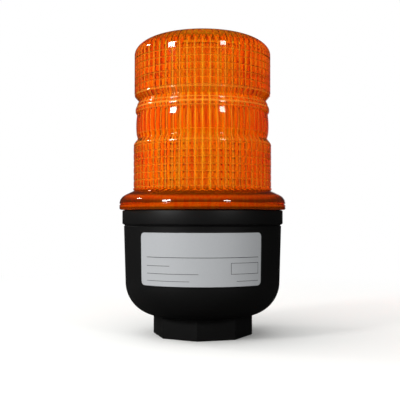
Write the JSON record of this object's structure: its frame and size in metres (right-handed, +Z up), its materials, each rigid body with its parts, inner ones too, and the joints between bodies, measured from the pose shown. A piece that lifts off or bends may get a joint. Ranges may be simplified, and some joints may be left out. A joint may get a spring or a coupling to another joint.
{
  "type": "warning light",
  "caption": "Amber LED warning light: ribbed screw-on lens with a waist and low dome on a round black housing, with an octagonal threaded hub for a pipe mount.",
  "frame": {"origin": "centre of the octagonal hub's bottom face, on the axis of the pipe bore", "axes": "+Z up along the axis of the hub, housing and lens; -Y is the front, where a corner of the hub points"},
  "size_m": [0.0834, 0.0834, 0.1495],
  "materials": {
    "housing": "black, moulded satin",
    "label": "printed foil, satin silver, bare",
    "lens": "clear amber, moulded gloss",
    "gasket": "black",
    "plate": "white, moulded",
    "post": "extruded, white powder coat",
    "strip": "white solder mask",
    "emitter": "clear silicone over a yellow emitter",
    "screw": "zinc plated",
    "board": "green solder mask",
    "terminal": "moulded",
    "ferrite": "dark grey ferrite",
    "coil": "yellow tape",
    "capacitor": "sleeved can",
    "fuse": "clear, with metal ends",
    "varistor": "epoxy dipped",
    "chip": "moulded epoxy",
    "header": "moulded",
    "lead_white": "insulated wire",
    "lead_grey": "insulated wire"
  },
  "bodies": {
    "housing": {"housing": "housing", "rating_label": "label", "chassis_plate": "plate", "chassis_screws": "screw", "led_post": "post", "post_screws": "screw", "board_links": "lead_white", "post_cap": "plate", "driver_board": "board", "driver_standoffs": "screw", "standoff_screws": "screw", "driver_screws": "screw", "terminal_block": "terminal", "terminal_screws": "screw", "transformer_core": "ferrite", "transformer_coil": "coil", "bulk_capacitor": "capacitor", "input_choke": "ferrite", "bridge_rectifier": "chip", "fuse": "fuse", "surge_varistor": "varistor", "control_chip": "chip", "switch_transistor": "chip", "output_header": "header", "led_lead_positive": "lead_white", "led_lead_negative": "lead_grey", "led_board_1": "strip", "led_emitters_1": "emitter", "led_board_2": "strip", "led_emitters_2": "emitter", "led_board_3": "strip", "led_emitters_3": "emitter", "led_board_4": "strip", "led_emitters_4": "emitter", "led_board_5": "strip", "led_emitters_5": "emitter", "led_board_6": "strip", "led_emitters_6": "emitter"},
    "lens_gasket": {"lens_gasket": "gasket"},
    "lens": {"lens": "lens"}
  },
  "joints": [
    {"name": "lens_lift", "type": "slide", "parent": "housing", "child": "lens_gasket", "axis": [0, 0, 1], "range_m": [0, 0.006]},
    {"name": "lens_twist", "type": "hinge", "parent": "lens_gasket", "child": "lens", "pos_m": [0, 0, 0.062], "axis": [0, 0, 1], "range_deg": [0, 720]}
  ],
  "couplings": [
    {"joint": "lens_lift", "follows": "lens_twist", "m_per_rad": 0.00047742}
  ]
}
